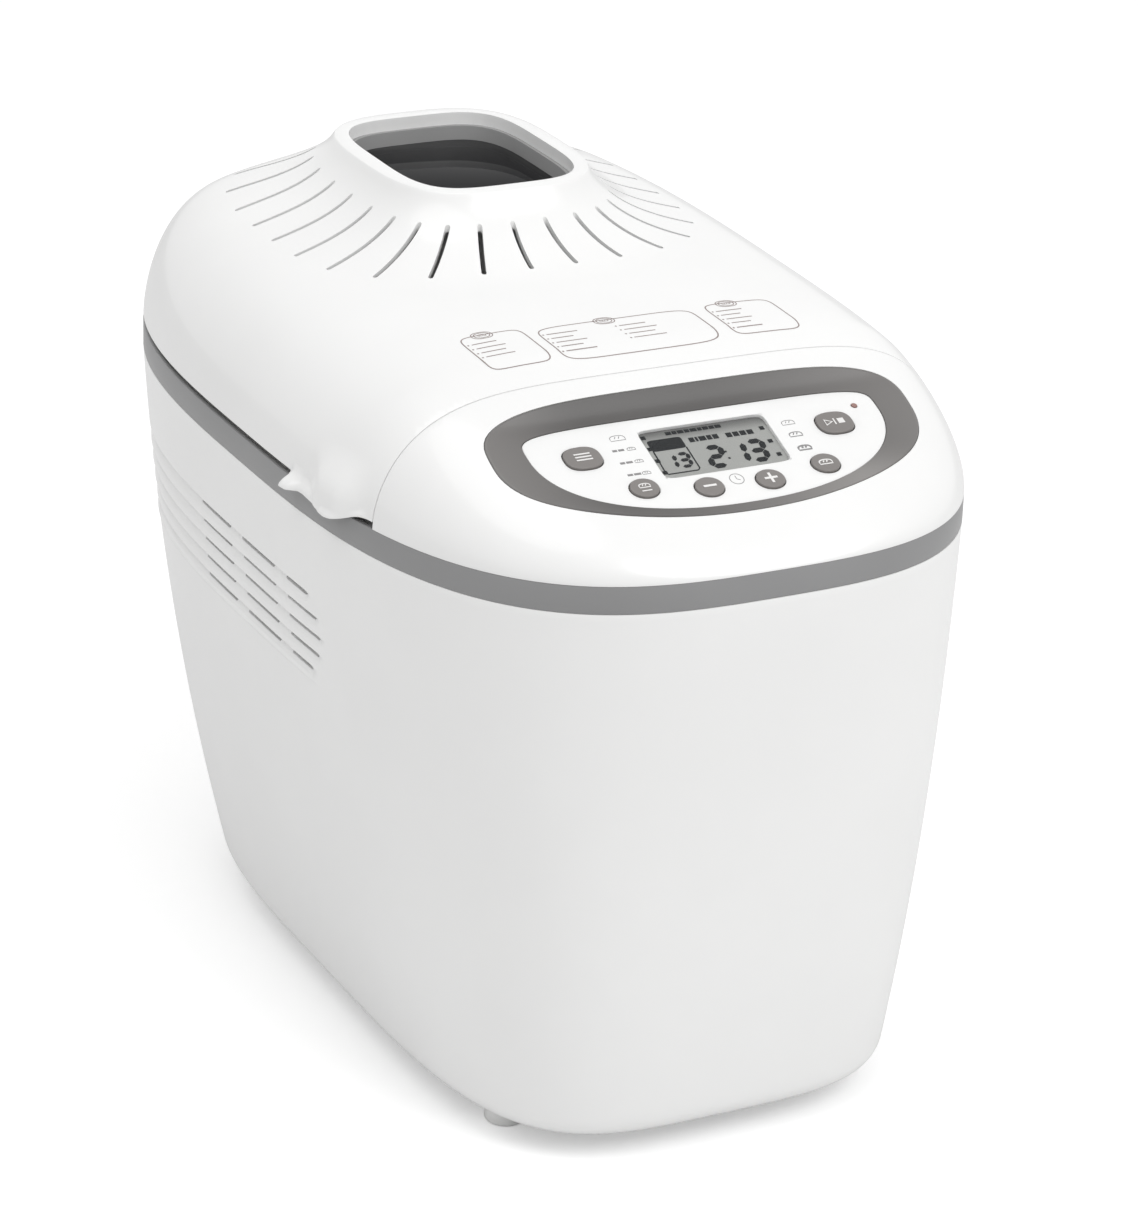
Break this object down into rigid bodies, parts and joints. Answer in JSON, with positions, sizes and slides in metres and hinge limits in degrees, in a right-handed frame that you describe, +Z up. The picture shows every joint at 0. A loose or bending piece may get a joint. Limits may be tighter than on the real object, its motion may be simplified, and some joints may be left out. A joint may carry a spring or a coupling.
{
  "type": "bread machine",
  "caption": "Countertop bread machine with a tapered body, a hinged lid with a chimney window and steam slots, a tilted control panel and a lift-out pan with two kneading paddles.",
  "frame": {"origin": "on the floor under the middle of the body's box", "axes": "+X to the right seen from the front, front faces -Y, +Z up"},
  "size_m": [0.2938, 0.435, 0.351],
  "materials": {
    "white_plastic": "high-gloss white moulded plastic",
    "inner_plastic": "plain moulded plastic",
    "grey_plastic": "satin mid-grey plastic",
    "bezel_plastic": "satin warm-grey plastic",
    "key_plastic": "satin grey key caps",
    "black_plastic": "black plastic",
    "clear_window": "clear display window",
    "smoked_glass": "smoked heat-proof glass",
    "display": "liquid crystal display module",
    "lens": "indicator lens",
    "steel_sheet": "pressed steel sheet",
    "steel": "turned and pressed steel",
    "coated_aluminium": "aluminium with a dark non-stick coating",
    "cast_aluminium": "cast aluminium",
    "brass": "sintered bronze bushes",
    "element_sheath": "oxidised steel sheath",
    "belt_rubber": "ribbed drive belt",
    "board": "circuit board",
    "foot_plastic": "white plastic foot"
  },
  "bodies": {
    "base": {"body_shell": "white_plastic", "rim_band": "grey_plastic", "top_deck": "inner_plastic", "base_plate": "inner_plastic", "feet": "foot_plastic", "panel_housing": "white_plastic", "bezel": "bezel_plastic", "fascia": "white_plastic", "lcd_window": "clear_window", "lcd_module": "display", "led_lens": "lens", "control_board": "board", "tact_switches": "black_plastic", "oven_chamber": "steel_sheet", "heating_element": "element_sheath", "temperature_probe": "steel", "pan_seat": "steel_sheet", "drive_frame": "steel_sheet", "shaft_bushes": "brass", "frame_screws": "steel", "motor_body": "steel", "run_capacitor": "black_plastic", "motor_belt": "belt_rubber", "link_belt": "belt_rubber", "power_board": "board", "transformer": "black_plastic", "inlet_gland": "black_plastic", "hinge_brackets": "steel", "hinge_pins": "steel"},
    "lid": {"lid_shell": "white_plastic", "lid_liner": "steel_sheet", "hinge_arms": "steel", "liner_screws": "steel", "window_frame": "grey_plastic", "window_glass": "smoked_glass", "inner_glass": "smoked_glass"},
    "menu_button": {"menu_button": "key_plastic"},
    "start_button": {"start_button": "key_plastic"},
    "weight_button": {"weight_button": "key_plastic"},
    "minus_button": {"minus_button": "key_plastic"},
    "plus_button": {"plus_button": "key_plastic"},
    "colour_button": {"colour_button": "key_plastic"},
    "rotor": {"motor_rotor": "steel", "motor_pulley": "black_plastic", "motor_fan": "inner_plastic"},
    "front_drive": {"front_drive_shaft": "steel", "front_drive_pulley": "black_plastic", "front_coupling": "cast_aluminium"},
    "rear_drive": {"rear_drive_shaft": "steel", "rear_drive_pulley": "black_plastic", "rear_coupling": "cast_aluminium"},
    "pan": {"bread_pan": "coated_aluminium", "pan_base": "cast_aluminium", "pan_bushes": "brass", "bail_ears": "steel"},
    "bail": {"bail_handle": "steel"},
    "front_shaft": {"front_pan_shaft": "steel"},
    "rear_shaft": {"rear_pan_shaft": "steel"},
    "front_mixer": {"front_paddle": "coated_aluminium"},
    "rear_mixer": {"rear_paddle": "coated_aluminium"}
  },
  "joints": [
    {"name": "lid_hinge", "type": "hinge", "parent": "base", "child": "lid", "pos_m": [0, 0.208, 0.275], "axis": [-1, 0, 0], "range_deg": [0, 75]},
    {"name": "menu_press", "type": "slide", "parent": "base", "child": "menu_button", "axis": [0, 0.3567, -0.9342], "range_m": [0, 0.0008], "stiffness_N_per_m": 600},
    {"name": "start_press", "type": "slide", "parent": "base", "child": "start_button", "axis": [0, 0.3567, -0.9342], "range_m": [0, 0.0008], "stiffness_N_per_m": 600},
    {"name": "weight_press", "type": "slide", "parent": "base", "child": "weight_button", "axis": [0, 0.3567, -0.9342], "range_m": [0, 0.0008], "stiffness_N_per_m": 600},
    {"name": "minus_press", "type": "slide", "parent": "base", "child": "minus_button", "axis": [0, 0.3567, -0.9342], "range_m": [0, 0.0008], "stiffness_N_per_m": 600},
    {"name": "plus_press", "type": "slide", "parent": "base", "child": "plus_button", "axis": [0, 0.3567, -0.9342], "range_m": [0, 0.0008], "stiffness_N_per_m": 600},
    {"name": "colour_press", "type": "slide", "parent": "base", "child": "colour_button", "axis": [0, 0.3567, -0.9342], "range_m": [0, 0.0008], "stiffness_N_per_m": 600},
    {"name": "motor_spin", "type": "hinge", "parent": "base", "child": "rotor", "pos_m": [0, -0.15, 0.08], "axis": [0, 0, 1], "continuous": true},
    {"name": "front_drive_spin", "type": "hinge", "parent": "base", "child": "front_drive", "pos_m": [0, -0.028, 0.05], "axis": [0, 0, 1], "continuous": true},
    {"name": "rear_drive_spin", "type": "hinge", "parent": "base", "child": "rear_drive", "pos_m": [0, 0.088, 0.05], "axis": [0, 0, 1], "continuous": true},
    {"name": "pan_lift", "type": "slide", "parent": "base", "child": "pan", "axis": [0, 0, 1], "range_m": [0, 0.012]},
    {"name": "bail_swing", "type": "hinge", "parent": "pan", "child": "bail", "pos_m": [0, 0.03, 0.226], "axis": [1, 0, 0], "range_deg": [0, 180]},
    {"name": "front_shaft_spin", "type": "hinge", "parent": "pan", "child": "front_shaft", "pos_m": [0, -0.028, 0.104], "axis": [0, 0, 1], "continuous": true},
    {"name": "rear_shaft_spin", "type": "hinge", "parent": "pan", "child": "rear_shaft", "pos_m": [0, 0.088, 0.104], "axis": [0, 0, 1], "continuous": true},
    {"name": "front_paddle_lift", "type": "slide", "parent": "front_shaft", "child": "front_mixer", "axis": [0, 0, 1], "range_m": [0, 0.03]},
    {"name": "rear_paddle_lift", "type": "slide", "parent": "rear_shaft", "child": "rear_mixer", "axis": [0, 0, 1], "range_m": [0, 0.03]}
  ],
  "couplings": [
    {"joint": "front_drive_spin", "follows": "motor_spin", "ratio": 0.2},
    {"joint": "rear_drive_spin", "follows": "motor_spin", "ratio": 0.2},
    {"joint": "front_shaft_spin", "follows": "motor_spin", "ratio": 0.2},
    {"joint": "rear_shaft_spin", "follows": "motor_spin", "ratio": 0.2}
  ]
}
